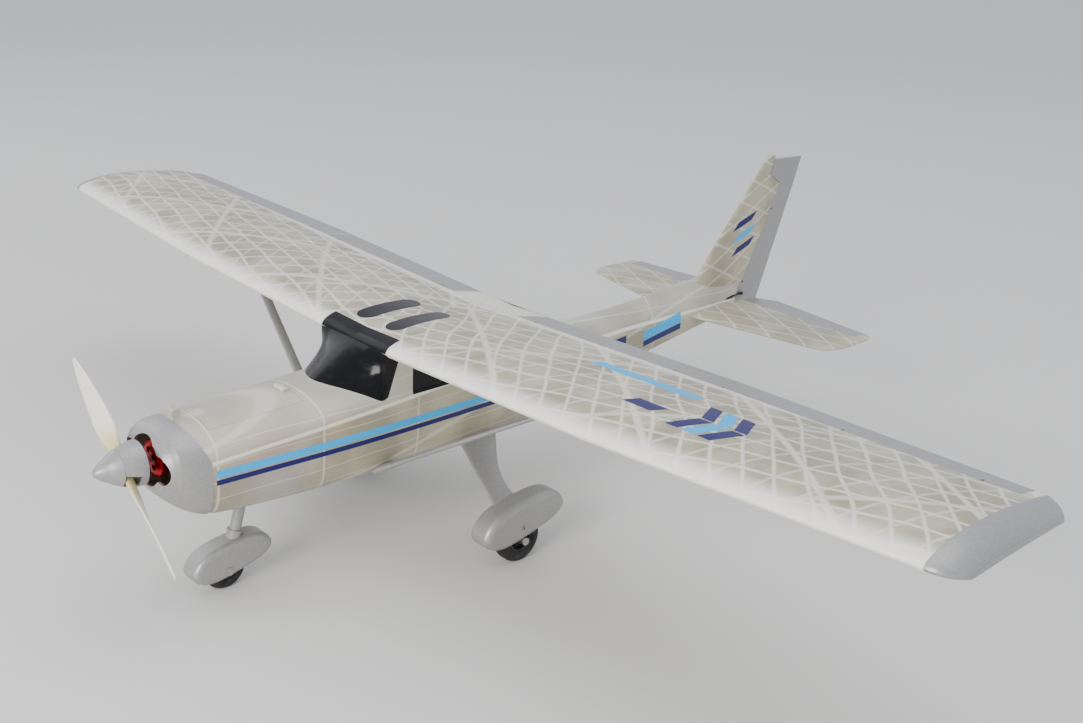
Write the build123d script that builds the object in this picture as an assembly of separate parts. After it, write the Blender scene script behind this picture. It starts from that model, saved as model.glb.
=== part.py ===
from build123d import *
from math import copysign, cos, hypot, pi, sin, sqrt
import os

# A 3D-printed electric model aeroplane of the four-seat high-wing kind, in millimetres.
# Drawing frame: X to the left wing tip, Y aft from the spinner's tip, Z up.
# Every part moves to the row's frame in save(): origin under the middle of the bounding box.
LENGTH = 969.0              # spinner tip to the rudder's top rear corner
HALF_SPAN = 640.0
FLOOR = 3.0                 # drawing height of the ground under the tyres
THRUST_Z = 154.0            # height of the propeller's axis
SKIN = 1.4                  # printed wall of the fuselage
WING_SKIN = 0.8             # printed wall of the wing and tail
GAP = 0.8                   # clearance round the nose of every control surface
X_AXIS, Y_AXIS, Z_AXIS = Vector(1, 0, 0), Vector(0, 1, 0), Vector(0, 0, 1)

# Fuselage stations: Y, half width, bottom, waist and top heights, and how boxy the section
# is above and below its waist (2 is an ellipse, 1 is a straight gable, 5 is nearly a box).
STATIONS = [
    (49, 36, 129, 154, 174, 2.4, 2.4),
    (53, 41, 122, 154.5, 179.5, 2.3, 2.6),
    (60, 45, 115, 155.5, 184.5, 2.2, 3.0),
    (72, 47.5, 106, 157, 187, 2.1, 3.6),
    (90, 48.5, 99, 158, 187.5, 2.1, 4.2),
    (140, 50.5, 95, 162, 187.5, 2.1, 4.5),
    (212, 53.5, 93, 168, 189, 2.1, 5.0),
    (300, 54, 92.5, 171, 194, 2.1, 5.0),
    (430, 50, 93, 171, 193, 2.1, 5.0),
    (490, 45, 96, 169, 189, 2.0, 4.6),
    (560, 35.5, 105, 163, 182, 1.7, 4.2),
    (625, 27.5, 114, 159, 184, 1.35, 4.0),
    (690, 21.5, 123, 157, 189, 1.2, 4.0),
    (782, 14.5, 134, 157, 195.5, 1.15, 3.6),
    (862, 8, 143, 157, 197, 1.1, 3.2),
]
COWL_SEAM = [(0, 80), (87, 80), (87, 157), (70, 197), (0, 197)]
NOSE_END, CABIN_END, BOOM_END = 197.0, 482.0, 690.0
TAIL_FOOT, TAIL_HEAD = (837.0, 130.0), (874.0, 203.0)   # slanted end of the tail cone

# Cabin glasshouse, as half plans at two heights: nose, front corner, shoulder, rear corner.
GLASS_LOW_Z, GLASS_HIGH_Z = 164.0, 222.0
GLASS_LOW = dict(nose=183, bow=(31, 204), corner=(53.3, 272), shoulder=(50.5, 440), rear=(22, 592))
GLASS_HIGH = dict(nose=270, bow=(30, 270), corner=(52.6, 270), shoulder=(49, 440), rear=(34, 470))
CABIN_FRAMES = (246, 325)                    # low frames across the cabin floor
POST_FRONT = [(269, 150), (271, 171), (287.5, 217), (287.5, 240), (100, 240), (100, 150)]
WINDOW = [(303, 173), (403, 173), (388, 206), (303, 206)]
HATCH_FRONT, HATCH_REAR, HATCH_HALF = 94.0, 193.0, 30.0
HATCH_Z, HATCH_BAR_Z = (160, 210), 184.4

ABOVE_WING = [(270, 220), (262, 260), (520, 260), (480, 215.6), (472, 219), (400, 222)]

# Wing, as leading and trailing edge points (Y, Z) at three places along the span.
CENTRE_HALF, KINK_X, SEAM_X = 52.6, 310.0, 616.0
WING_AT = {
    0.0: ((270, 220), (480, 215)),
    KINK_X: ((270, 229.3), (476, 228)),
    SEAM_X: ((287, 238.5), (457, 240.9)),
}
WING_THICKNESS = 0.12
CAP_AT = [
    (SEAM_X, (287, 238.5), (457, 240.9), 0.12),
    (629, (291, 237.6), (450, 239.4), 0.105),
    (636.5, (299, 235.6), (443.5, 237), 0.075),
    (HALF_SPAN, (308, 233.4), (438, 234.8), 0.035),
]
HINGE_Y_IN, HINGE_Y_OUT = 439.5, 433.6       # wing hinge line at the flap root and aileron tip
FLAP_IN, FLAP_OUT, AILERON_IN, AILERON_OUT = 51.2, 286.0, 287.6, 606.0
SKYLIGHT_X, SKYLIGHT_Y, SKYLIGHT_LONG, SKYLIGHT_WIDE = 23.3, 331.5, 74.0, 24.0
ROOF_STRIP = (268.0, 287.0)
ROOF_STRIP_Z = 220.8
SPAR_IN, SPAR_OUT, SPAR_R = (8, 333, 222), (560, 336, 240.3), 4.0
SERVO_X, SERVO_Y = 432.0, 388.0              # aileron servo in each wing
ARM_X, ARM_LENGTH = 447.0, 15.0

# Tail.
STAB_Z, STAB_THICK = 153.0, 0.065
STAB_AT = [
    (0, 757, 906, 0.065),
    (174, 793, 887, 0.075),
    (187, 802, 884, 0.062),
    (194, 819, 876, 0.03),
]
ELEVATOR_IN, ELEVATOR_OUT, ELEVATOR_HINGE_Y = 14.0, 180.0, 863.0
FIN_LOW, FIN_HIGH = ((782, 196), (923.6, 196)), ((899, 333), (973, 333))
FIN_THICK = 0.08
RUDDER_HINGE = ((858, 156), (929, 295))
RUDDER_TE = ((906, 147), (969, 322))
RUDDER_TOP_FRONT, RUDDER_NOTCH = (912, 328), (904, 310)
RUDDER_HORN_Z, RUDDER_HORN_REACH = 162.0, 7.2

# Undercarriage.
PANT_OUTLINE = [(0, .40), (.085, .69), (.30, .91), (.60, 1), (.85, .98), (.96, .83),
                (1, .62), (.93, .41), (.68, .19), (.38, .035), (.17, .02), (.04, .16)]
MAIN_X, MAIN_Y, MAIN_R, MAIN_TREAD = 131.0, 376.0, 25.0, 17.0
MAIN_PANT = dict(y=325.0, z=25.5, length=105.0, height=47.0, half=14.0)
NOSE_Y, NOSE_R, NOSE_TREAD = 121.0, 21.0, 14.0
NOSE_PANT = dict(y=85.0, z=14.5, length=84.0, height=38.5, half=13.0)
MAIN_SPLIT_Y = 370.0
STEER_FOOT, STEER_HEAD = Vector(0, 126.6, 26), Vector(0, 146, 100)
AXLE_R, SCREW_R, RUNNING = 2.0, 2.2, 0.05
RIM_SHARE = 0.55                             # rim radius as a share of the tyre's
LEG_AT = [(34, 371, 428, 108.5), (56, 366.5, 411.5, 99), (80, 360, 393, 88),
          (105, 354.5, 381.5, 75.5), (117, 352, 381, 69), (128, 347, 384, 62)]
STRUT_FOOT, STRUT_HEAD = Vector(44, 271, 99), Vector(246, 314, 221)
STRUT_SECTIONS = [(0, 11, 5), (0.05, 8.6, 3.9), (0.1, 6.8, 3), (0.17, 5.7, 2.5), (1, 5.2, 2.3)]
GEAR_PLATE = [(-32, 32), (346, 442)]         # cover plate over the leg roots
PLATE_BOTTOM, PLATE_TOP = 90.6, 92.8
PLATE_SCREWS = [(x, y) for x in (-24, 24) for y in (354, 434)]

# Power unit and radio gear.
PROP_Y, PROP_R, PROP_TURN = 28.0, 111.5, -49.0
BLADE_AT = [(6, 11, 7, 62), (16, 11, 6, 52), (30, 17, 4.4, 40), (50, 20.5, 3.2, 29),
            (75, 17.5, 2.4, 21), (98, 11.5, 1.7, 16), (PROP_R, 5, 1.1, 14)]
SPINNER_SEAM, SPINNER_BACK, SPINNER_R = 22.0, 42.0, 20.8
SHAFT_R, BELL_R, BELL_FRONT, BELL_BACK, MOTOR_BACK = 2.5, 17.5, 52.0, 75.0, 84.0
INLET_X, INLET_WIDE, INLET_HIGH = 12.5, 54.0, 26.0
FIREWALL_Y = 90.0
TRAY_Z = 112.0
TAIL_RODS = [("rudder", (7.5, 859.2, 162), (10, 350, 132)),
             ("elevator", (-10, 868.6, 140), (-10, 350, 132))]

parts = {}


def save(name, *shapes):
    """Keeps a node's solids, moved from the drawing frame to the row's frame."""
    solids = [solid for shape in shapes for solid in shape.solids()]
    parts[name] = Pos(0, -LENGTH / 2, -FLOOR) * Compound(solids)


def flip(shape):
    """The same piece on the right side."""
    return mirror(shape, about=Plane.YZ)


def prism_x(outline, low, high):
    """A prism along X from a (Y, Z) outline."""
    face = make_face(Polyline(*[(low, y, z) for y, z in outline], close=True))
    return extrude(face, amount=high - low, dir=X_AXIS)


def block(x, y, z):
    """A box from three (low, high) pairs."""
    size = [high - low for low, high in (x, y, z)]
    return Pos(x[0], y[0], z[0]) * Box(*size, align=(Align.MIN,) * 3)


def rod(start, end, radius):
    """A round bar between two points."""
    start, end = Vector(*start), Vector(*end)
    axis = end - start
    return Plane(origin=start, z_dir=axis) * Cylinder(
        radius, axis.length, align=(Align.CENTER, Align.CENTER, Align.MIN))


def ring(center, across, up, half, rise, drop, crown=2.0, keel=2.0, points=13):
    """A closed section of two smooth edges that meet at its waist, with evenly spread points."""
    def edge(height, power, sign):
        dense = []
        for i in range(181):
            c, s = cos(pi * i / 180), max(sin(pi * i / 180), 0.0)
            dense.append((half * copysign(abs(c) ** (2 / power), c), height * s ** (2 / power)))
        dense[0], dense[-1] = (half, 0.0), (-half, 0.0)
        run = [0.0]
        for a, b in zip(dense, dense[1:]):
            run.append(run[-1] + hypot(b[0] - a[0], b[1] - a[1]))
        places, k = [], 0
        for i in range(points):
            goal = run[-1] * i / (points - 1)
            while k < 179 and run[k + 1] < goal:
                k += 1
            share = (goal - run[k]) / (run[k + 1] - run[k])
            a, b = dense[k], dense[k + 1]
            places.append(center + across * (a[0] + share * (b[0] - a[0]))
                          + up * sign * (a[1] + share * (b[1] - a[1])))
        return Spline(*places)
    return make_face([edge(rise, crown, 1), edge(drop, keel, -1)])


# ---- fuselage ----

def station(y):
    """The fuselage's section sizes at Y, smoothly between the rows of STATIONS."""
    k = max(i for i, row in enumerate(STATIONS[:-1]) if row[0] <= y)
    a, b = STATIONS[k], STATIONS[k + 1]
    before, after = STATIONS[max(k - 1, 0)], STATIONS[min(k + 2, len(STATIONS) - 1)]
    t, span = (y - a[0]) / (b[0] - a[0]), b[0] - a[0]
    sizes = []
    for j in range(1, 7):
        slope_a = (b[j] - before[j]) / (b[0] - before[0]) * span
        slope_b = (after[j] - a[j]) / (after[0] - a[0]) * span
        sizes.append((2 * t ** 3 - 3 * t * t + 1) * a[j] + (t ** 3 - 2 * t * t + t) * slope_a
                     + (3 * t * t - 2 * t ** 3) * b[j] + (t ** 3 - t * t) * slope_b)
    return sizes


def hull(low, high, inset=0.0, step=24.0):
    """The fuselage body between two stations, or its inside at a wall of inset."""
    count = max(2, round((high - low) / step) + 1)
    sections = []
    for i in range(count):
        y = low + (high - low) * i / (count - 1)
        half, bottom, waist, top, crown, keel = station(y)
        sections.append(ring(Vector(0, y, waist), X_AXIS, Z_AXIS, half - inset,
                             top - waist - inset, waist - bottom - inset, crown, keel))
    return loft(sections, ruled=True)


def glass_plan(z, inset, nose, bow, corner, shoulder, rear):
    """One plan of the glasshouse: curved front, straight sides and a flat back."""
    front = [(-corner[0], corner[1]), (-bow[0], bow[1]), (0, nose), bow, corner]
    flat = nose == corner[1]
    front = [(x - copysign(inset, x) if x else 0, y + 1.6 * inset) for x, y in front]
    back = [(shoulder[0] - inset, shoulder[1]), (rear[0] - inset, rear[1] - inset)]
    if flat:
        curve = Line((*front[0], z), (*front[-1], z))
    else:
        curve = Spline(*[(x, y, z) for x, y in front])
    left = [front[-1], *back]
    right = [(-x, y) for x, y in reversed(left)]
    sides = Polyline(*[(x, y, z) for x, y in left + right])
    return make_face([curve, *sides.edges()])


def glasshouse(inset):
    """The cabin above the waist: windscreen, sides and the sloping rear deck."""
    low = glass_plan(GLASS_LOW_Z, inset, **GLASS_LOW)
    high = glass_plan(GLASS_HIGH_Z, inset, **GLASS_HIGH)
    return loft([low, high], ruled=True)


def chord_at(x):
    """Leading and trailing edge points of the wing at X."""
    inner, outer = (0.0, KINK_X) if x <= KINK_X else (KINK_X, SEAM_X)
    share = (x - inner) / (outer - inner)
    edges = []
    for a, b in zip(WING_AT[inner], WING_AT[outer]):
        edges.append((a[0] + share * (b[0] - a[0]), a[1] + share * (b[1] - a[1])))
    return edges


def half_thickness(u, ratio):
    """Half thickness of a four-digit aerofoil per unit chord, with a closed trailing edge."""
    return 5 * ratio * (0.2969 * sqrt(u) - 0.126 * u - 0.3516 * u ** 2
                        + 0.2843 * u ** 3 - 0.1036 * u ** 4)


def camber(u, rise=0.02, place=0.4):
    """Camber line of the same aerofoil per unit chord."""
    if u < place:
        return rise / place ** 2 * (2 * place * u - u * u)
    return rise / (1 - place) ** 2 * (1 - 2 * place + 2 * place * u - u * u)


def aerofoil(x, lead, trail, ratio, rise=0.02, start=0.0, end=1.0, wall=0.0, points=15):
    """The aerofoil at X as a face; with a wall it is the hollow inside it."""
    chord = trail[0] - lead[0]
    blunt = 0.5
    upper, lower = [], []
    for i in range(points):
        u = start + (end - start) * (1 - cos(pi * i / (points - 1))) / 2
        y = lead[0] + u * chord
        z = lead[1] + u * (trail[1] - lead[1]) + chord * camber(u, rise)
        half = chord * half_thickness(u, ratio) + u * blunt - wall
        upper.append((x, y, z + half))
        lower.append((x, y, z - half))
    if start == 0:
        lower[0] = upper[0]
    edges = [Spline(*upper), Line(upper[-1], lower[-1]), Spline(*lower)]
    if start > 0:
        edges.append(Line(lower[0], upper[0]))
    return make_face(edges)


def wing_body(low, high, **inside):
    """A stretch of the left wing between two places along the span."""
    stops = [low] + ([KINK_X] if low < KINK_X < high else []) + [high]
    return loft([aerofoil(x, *chord_at(x), WING_THICKNESS, **inside) for x in stops], ruled=True)


# ---- control surfaces ----

def hinge_at(x):
    """Hinge point, trailing edge and nose radius of the wing's surfaces at X."""
    y = HINGE_Y_IN + (HINGE_Y_OUT - HINGE_Y_IN) * (x - FLAP_IN) / (AILERON_OUT - FLAP_IN)
    lead, trail = chord_at(x)
    chord = trail[0] - lead[0]
    u = (y - lead[0]) / chord
    z = lead[1] + u * (trail[1] - lead[1]) + chord * camber(u)
    return Vector(x, y, z), Vector(x, *trail), chord * half_thickness(u, WING_THICKNESS)


def surface(stops, normal):
    """A control surface: a round nose about the hinge, tapering to its trailing edge."""
    sections = []
    for hinge, trail, radius in stops:
        back = (trail - hinge).normalized()
        top, bottom = hinge + normal * radius, hinge - normal * radius
        thin = normal * 0.5
        nose = ThreePointArc(bottom, hinge - back * radius, top)
        sides = Polyline(top, trail + thin, trail - thin, bottom)
        sections.append(make_face([nose, *sides.edges()]))
    return loft(sections, ruled=True) - surface_cell(stops, normal)


def surface_cell(stops, normal, inset=2.0, ahead=6.5, behind=9.0):
    """The sealed hollow inside a control surface."""
    along = (stops[-1][0] - stops[0][0]).normalized() * inset
    shifts = [along] + [Vector(0, 0, 0)] * (len(stops) - 2) + [-along]
    sections = []
    for (hinge, trail, radius), shift in zip(stops, shifts):
        back = (trail - hinge).normalized()
        reach = (trail - hinge).length
        corners = []
        for place in (ahead, reach - behind):
            half = normal * (radius + (0.5 - radius) * place / reach - WING_SKIN)
            middle = hinge + shift + back * place
            corners.append((middle + half, middle - half))
        (a, b), (c, d) = corners
        sections.append(make_face(Polyline(a, c, d, b, close=True)))
    return loft(sections, ruled=True)


def cove(stops, normal, over=0.6):
    """What a surface needs clear: its nose with a gap, and everything behind."""
    first, last = stops[0][0], stops[-1][0]
    along = (last - first).normalized() * over
    sections = []
    for (hinge, trail, radius), shift in ((stops[0], -along), (stops[-1], along)):
        back = (trail - hinge).normalized()
        clear, deep, far = normal * (radius + GAP), normal * 25, back * 90
        hinge = hinge + shift
        nose = ThreePointArc(hinge - clear, hinge - back * (radius + GAP), hinge + clear)
        sides = Polyline(hinge + clear, hinge + deep, hinge + deep + far,
                         hinge - deep + far, hinge - deep, hinge - clear)
        sections.append(make_face([nose, *sides.edges()]))
    return loft(sections, ruled=True)


def hinges(stops, shares, size=2.4, pin_r=0.7):
    """Lugs, the slots they swing in, pins and pin bores along a hinge line."""
    first, last = stops[0], stops[-1]
    axis = (last[0] - first[0]).normalized()
    found = dict(lugs=[], slots=[], pins=[], bores=[])
    for share in shares:
        centre = first[0] + (last[0] - first[0]) * share
        radius = first[2] + (last[2] - first[2]) * share
        back = (first[1] - first[0]).normalized()
        plane = Plane(origin=centre, x_dir=-back, z_dir=axis)
        reach = radius + 4
        plate = Circle(size) + Pos(reach / 2, 0) * Rectangle(reach, 2 * size * 0.8)
        found["lugs"].append(extrude(plane * plate, amount=0.8, both=True))
        found["slots"].append(plane * Pos(reach / 2 - size, 0, 0) * Box(reach + 2 * size, 30, 2.4))
        found["pins"].append(plane * Cylinder(pin_r, 10))
        found["bores"].append(plane * Cylinder(pin_r + RUNNING, 11))
    return found


def horn(foot, back, up, height, side=X_AXIS):
    """A control horn: a thin plate with a rod hole, standing off its surface."""
    tip = foot + up * height
    plate = make_face(Polyline(foot - back * 2, tip - back * 2.2, tip + back * 2.2,
                               foot + back * 9, close=True))
    bore = Plane(origin=tip - up * 2.2, z_dir=side) * Cylinder(0.9, 10)
    return extrude(plate, amount=0.8, dir=side, both=True) - bore


def wing_surfaces():
    """Flap and aileron of the left wing, with what the wing itself loses and gains."""
    made = {}
    for name, low, high in (("flap", FLAP_IN, FLAP_OUT), ("aileron", AILERON_IN, AILERON_OUT)):
        places = [low] + ([KINK_X] if low < KINK_X < high else []) + [high]
        ends = [hinge_at(low), hinge_at(high)]
        stops = []
        for x in places:
            _, trail, radius = hinge_at(x)
            share = (x - low) / (high - low)
            stops.append((ends[0][0] + (ends[1][0] - ends[0][0]) * share, trail, radius))
        fittings = hinges(stops, (0.1, 0.5, 0.9))
        body = surface(stops, Z_AXIS) - fittings["slots"] - fittings["bores"]
        made[name] = dict(body=body, cove=cove(stops, Z_AXIS), ends=ends, **fittings)
    return made


# ---- pieces of the undercarriage ----

def pant(y, z, length, height, half, x=0.0, cavity_half=11.5, wall=4.0):
    """A wheel pant: a flat-sided pod with soft edges, a wheel bay and a slot under it."""
    outline = [(x - half, y + u * length, z + w * height) for u, w in PANT_OUTLINE]
    face = make_face(Spline(*outline, periodic=True))
    pod = extrude(face, amount=2 * half, dir=X_AXIS)
    pod = fillet(pod.edges(), height * 0.15)
    middle = Vector(x - half, y + length * 0.5, z + height * 0.52)
    shrink_y, shrink_z = 1 - 2 * wall / length, 1 - 2 * wall / height
    inner = [(x - cavity_half, middle.Y + (p[1] - middle.Y) * shrink_y,
              middle.Z + (p[2] - middle.Z) * shrink_z) for p in outline]
    bay = extrude(make_face(Spline(*inner, periodic=True)), amount=2 * cavity_half, dir=X_AXIS)
    return pod, bay


def wheel(x, y, z, radius, tread):
    """A rim with a running bore and a rounded tyre on it."""
    centre = Plane(origin=(x, y, z), z_dir=X_AXIS)
    rim_r = radius * RIM_SHARE
    tyre = Cylinder(radius, tread)
    tyre = fillet(tyre.edges().filter_by(GeomType.CIRCLE), tread * 0.42) - Cylinder(rim_r, tread)
    rim = Cylinder(rim_r, tread * 0.8)
    dish = Cylinder(rim_r - 2, tread) - Cylinder(5, tread)
    rim = rim - Pos(0, 0, tread * 0.62) * dish - Pos(0, 0, -tread * 0.62) * dish
    rim = rim + Cylinder(5, tread) - Cylinder(AXLE_R + RUNNING, 3 * tread)
    for turn in range(5):
        rim = rim - Rot(0, 0, 72 * turn) * Pos(rim_r * 0.62, 0, 0) * Cylinder(rim_r * 0.2, tread)
    return centre * tyre, centre * rim


def axle(x, y, z, half):
    """A plain axle pin with a low head at its outer end."""
    pin = rod((x - half, y, z), (x + half, y, z), AXLE_R)
    return pin + rod((x + half, y, z), (x + half + 1.2, y, z), 2 * AXLE_R)


def build_cowl():
    """The motor cowl: an open-backed shell with a spinner hole and two cheek inlets."""
    seam = prism_x(COWL_SEAM, -80, 80)
    face_y = STATIONS[0][0]
    body = hull(face_y, FIREWALL_Y, step=5) - hull(face_y + 2.5, FIREWALL_Y, SKIN + 0.6, step=5)
    body = body & seam
    body -= rod((0, 0, THRUST_Z), (0, face_y + 6, THRUST_Z), SPINNER_R + 3)
    for side in (-1, 1):
        inlet = SlotOverall(INLET_WIDE, INLET_HIGH)
        plane = Plane(origin=(side * INLET_X, 30, THRUST_Z - 1), x_dir=X_AXIS, z_dir=Y_AXIS)
        body -= extrude(plane * inlet, amount=28)
    save("cowl", body)


def build_nose():
    """The nose section with its hatch opening, battery floor and gear bearing hole."""
    seam = prism_x([(y, z) for y, z in COWL_SEAM[1:4]] + [(300, 197), (300, 80)], -80, 80)
    shell = (hull(70, NOSE_END) - hull(70, NOSE_END, SKIN)) & seam
    latch = fillet((Pos(0, 78, 190) * Box(9, 8, 13)).edges().filter_by(Axis.X), 2.5)
    floor = block((-60, 60), (FIREWALL_Y + 3, NOSE_END), (TRAY_Z - 2, TRAY_Z))
    floor = floor & hull(70, NOSE_END, SKIN / 2)
    shell = shell + (latch - hull(70, NOSE_END, SKIN / 2)) + floor
    gap = 0.4
    shell -= block((-HATCH_HALF - gap, HATCH_HALF + gap), (HATCH_FRONT - gap, HATCH_REAR + gap),
                   HATCH_Z)
    shell -= rod(STEER_HEAD - (0, 5, 19), STEER_HEAD + (0, 10, 38), 3.4)
    save("nose_section", shell)
    lid = hull(HATCH_FRONT - 4, HATCH_REAR + 2) - hull(HATCH_FRONT - 4, HATCH_REAR + 2, SKIN)
    lid = lid & block((-HATCH_HALF, HATCH_HALF), (HATCH_FRONT, HATCH_REAR), HATCH_Z)
    bar = Box(46, 4, 4)
    bars = Pos(0, HATCH_FRONT + 12, HATCH_BAR_Z) * bar + Pos(0, HATCH_REAR - 12, HATCH_BAR_Z) * bar
    bars = bars & hull(70, NOSE_END, SKIN / 2)
    grip = Pos(0, HATCH_REAR - 4.5, 188) * Box(16, 7, 7)
    grip = fillet(grip.edges().filter_by(Axis.X), 2) - hull(70, NOSE_END, SKIN / 2)
    save("battery_hatch", lid + bars + grip)
    bulkhead = hull(70, NOSE_END, SKIN) & block((-60, 60), (FIREWALL_Y, FIREWALL_Y + 3), (80, 200))
    cup = rod((0, MOTOR_BACK, THRUST_Z), (0, FIREWALL_Y, THRUST_Z), 21)
    mount = bulkhead + cup
    for x in (-30, 0, 30):
        mount -= rod((x, 80, THRUST_Z), (x, 99, THRUST_Z), 6)
    save("motor_mount", mount)


def glass_part(low, high, inset=0.0):
    """The glasshouse between two stations."""
    return glasshouse(inset) & block((-99, 99), (low, high), (0, 400))


def build_cabin(wing):
    """Cabin shell, its windscreen and side windows, and the gear cover plate."""
    above = prism_x(ABOVE_WING, -80, 80)
    outer = hull(NOSE_END, CABIN_END) + glass_part(NOSE_END, CABIN_END) - above
    outer -= wing
    inner = hull(NOSE_END, CABIN_END, SKIN) + glass_part(NOSE_END - 5, CABIN_END + 5, SKIN)
    shell = outer - inner
    screen_tool = prism_x(POST_FRONT, -80, 80) - hull(NOSE_END - 60, 320, -0.7)
    window_tool = prism_x(WINDOW, 40, 80)
    window_tool += flip(window_tool)
    screen = shell & screen_tool
    windows = shell & window_tool
    shell = shell - screen_tool - window_tool
    plate = block(*GEAR_PLATE, (PLATE_BOTTOM, PLATE_TOP))
    shell -= block(*GEAR_PLATE, (80, PLATE_TOP))
    for y in CABIN_FRAMES:
        shell += block((-60, 60), (y, y + 2), (94, 128)) & hull(NOSE_END, CABIN_END, SKIN)
    save("windscreen", largest(screen))
    for x, y in PLATE_SCREWS:
        plate -= rod((x, y, 80), (x, y, 92), SCREW_R)
    save("gear_plate", plate)
    return shell, windows


def largest(shape):
    """The biggest solid of a result."""
    return max(shape.solids(), key=lambda solid: solid.volume)


def build_boom(wing):
    """The boom with the sloping deck behind the cabin, and the tail cone."""
    outer = hull(CABIN_END, BOOM_END) + glass_part(CABIN_END, 600)
    inner = hull(CABIN_END, BOOM_END, SKIN) + glass_part(CABIN_END - 5, 600, SKIN)
    boom = outer - inner
    boom -= wing
    cone_end = STATIONS[-1][0]
    cut = prism_x([TAIL_FOOT, TAIL_HEAD, (960, 203), (960, 120)], -60, 60)
    solid_cone = hull(BOOM_END, cone_end) - cut
    cone = solid_cone - hull(BOOM_END, cone_end, SKIN)
    plug = prism_x([(TAIL_FOOT[0] - 3, TAIL_FOOT[1]), (TAIL_HEAD[0] - 3, TAIL_HEAD[1]),
                    TAIL_HEAD, TAIL_FOOT], -60, 60) & solid_cone
    return boom, cone + plug, solid_cone


def build_wing():
    """Both wing halves, centre, caps, spars, servos and hinged surfaces."""
    made = wing_surfaces()
    flap, aileron = made["flap"], made["aileron"]
    clear = [flap["cove"], aileron["cove"]]
    lugs = flap["lugs"] + aileron["lugs"]
    spar = rod(SPAR_IN, SPAR_OUT, SPAR_R)
    spar_hollow = rod(SPAR_IN, SPAR_OUT, SPAR_R - 1)
    hinge, _, _ = hinge_at(ARM_X)

    hollow = dict(start=0.02, end=0.755, wall=WING_SKIN)
    centre = wing_body(0, CENTRE_HALF) - wing_body(0, CENTRE_HALF - SKIN, **hollow)
    centre -= clear
    panel = wing_body(CENTRE_HALF, SEAM_X) - wing_body(CENTRE_HALF + SKIN, SEAM_X - SKIN, **hollow)
    panel = panel - clear + lugs
    panel -= flap["pins"] + aileron["pins"]
    panel -= Pos(ARM_X, SERVO_Y + 8, hinge.Z - 8) * Box(4.4, 24, 16)
    panel -= block((ARM_X - 1.8, ARM_X + 1.8), (hinge.Y - 10, hinge.Y), (hinge.Z - 20, hinge.Z + 1))
    panel, centre = panel - spar, centre - spar
    servo_z = hinge.Z - 0.5
    servo = Pos(SERVO_X, SERVO_Y, servo_z) * Box(12, 23, 10)
    servo += rod((SERVO_X, SERVO_Y + 8, servo_z), (ARM_X - 1.6, SERVO_Y + 8, servo_z), 2.5)

    def pair(name, shape):
        save(f"{name}_left", shape)
        save(f"{name}_right", flip(shape))

    centre += flip(centre)
    slots = [extrude(Plane(origin=(x, SKYLIGHT_Y, 222), x_dir=Y_AXIS, z_dir=Z_AXIS)
                     * SlotOverall(SKYLIGHT_LONG, SKYLIGHT_WIDE), amount=40)
             for x in (-SKYLIGHT_X, SKYLIGHT_X)]
    strip = block((-CENTRE_HALF + 0.4, CENTRE_HALF - 0.4), ROOF_STRIP, (ROOF_STRIP_Z, 260))
    openings = slots + [strip]
    panes = [centre & tool for tool in openings]
    for tool in openings:
        centre -= tool
    save("wing_center", centre)
    pair("wing", panel)
    cap = loft([aerofoil(*row) for row in CAP_AT])
    cap -= loft([aerofoil(*row, start=0.05, end=0.85, wall=1.4) for row in CAP_AT[:3]])
    pair("wing_tip", cap)
    bar = spar - spar_hollow
    save("wing_spars", bar, flip(bar))
    save("wing_servos", servo, flip(servo))
    pins = flap["pins"] + aileron["pins"]

    for name, item in made.items():
        body = item["body"]
        if name == "aileron":
            hinge, _, radius = hinge_at(ARM_X)
            foot = hinge - Z_AXIS * (radius - 1.5)
            body += horn(foot, Y_AXIS, -Z_AXIS, foot.Z - (aileron_axis_z() - ARM_LENGTH) + 2.2)
        pair(name, body)
    build_aileron_links(pair)
    return pins, panes


def aileron_axis_z():
    """Height of the aileron's hinge axis at its horn."""
    low, high = hinge_at(AILERON_IN)[0], hinge_at(AILERON_OUT)[0]
    return low.Z + (high.Z - low.Z) * (ARM_X - AILERON_IN) / (AILERON_OUT - AILERON_IN)


def arm(pivot, tip, normal, hub=3.6, end=2.4, thick=1.6):
    """A servo arm: a round hub tapering to a small end with a rod hole."""
    along = (tip - pivot).normalized()
    plane = Plane(origin=pivot, x_dir=along, z_dir=normal)
    reach = (tip - pivot).length
    outline = make_face(Polyline((0, hub * 0.9), (reach, end * 0.9), (reach, -end * 0.9),
                                 (0, -hub * 0.9), close=True))
    flat = outline + Circle(hub) + Pos(reach, 0) * Circle(end) - Pos(reach, 0) * Circle(0.9)
    return extrude(plane * flat, amount=thick / 2, both=True)


def build_aileron_links(pair):
    """Arm and pushrod of each aileron servo, a parallelogram with the horn."""
    pivot = Vector(ARM_X, SERVO_Y + 8, aileron_axis_z())
    tip = pivot - Z_AXIS * ARM_LENGTH
    pair("aileron_arm", arm(pivot, tip, X_AXIS))
    far = Vector(ARM_X, hinge_at(ARM_X)[0].Y, tip.Z)
    side = X_AXIS * 2.2
    pair("aileron_pushrod", rod(tip + side - Y_AXIS * 3, far + side + Y_AXIS * 3, 0.8))


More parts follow.
